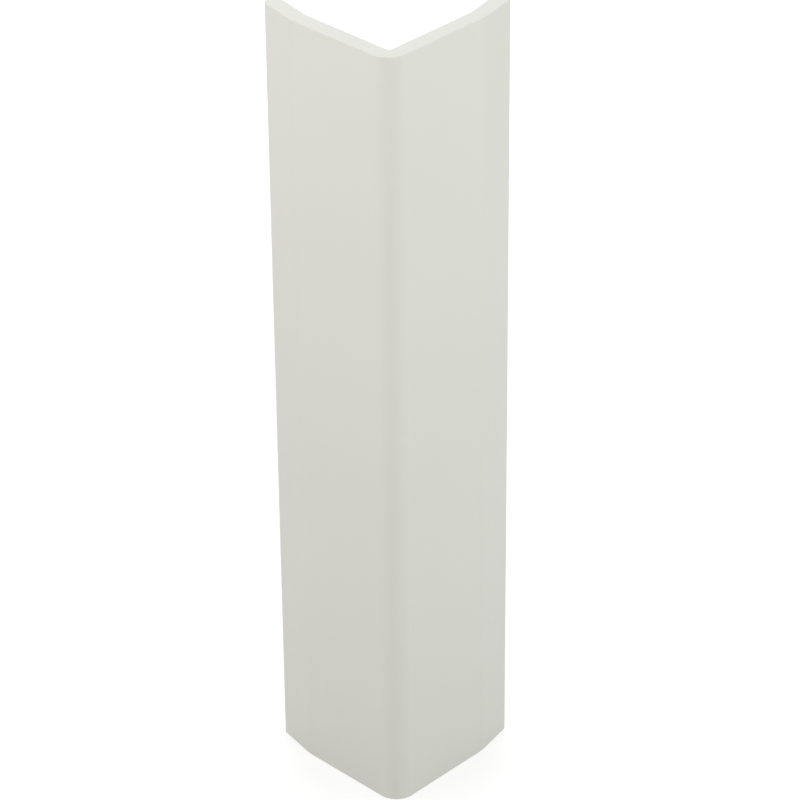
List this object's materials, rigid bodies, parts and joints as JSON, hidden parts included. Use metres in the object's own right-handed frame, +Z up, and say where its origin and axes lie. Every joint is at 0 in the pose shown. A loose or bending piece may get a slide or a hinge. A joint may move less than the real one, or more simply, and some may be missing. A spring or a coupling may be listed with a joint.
{
  "type": "corner guard moulding",
  "caption": "L-shaped extruded plastic corner guard with a rounded nose and long edges turned in, glued over a wall's outside corner to protect it from knocks.",
  "frame": {"origin": "on the lower sawn end, at the line where the planes of the two inner faces meet, which is the arris of the wall that the guard wraps", "axes": "+Z up the wall's corner, along the length; one leg runs along +X with its inner face on Y = 0, the other along +Y with its inner face on X = 0"},
  "size_m": [0.0316, 0.0316, 0.1524],
  "materials": {
    "rigid_pvc": "satin"
  },
  "bodies": {
    "root": {"corner_guard": "rigid_pvc"}
  },
  "joints": []
}
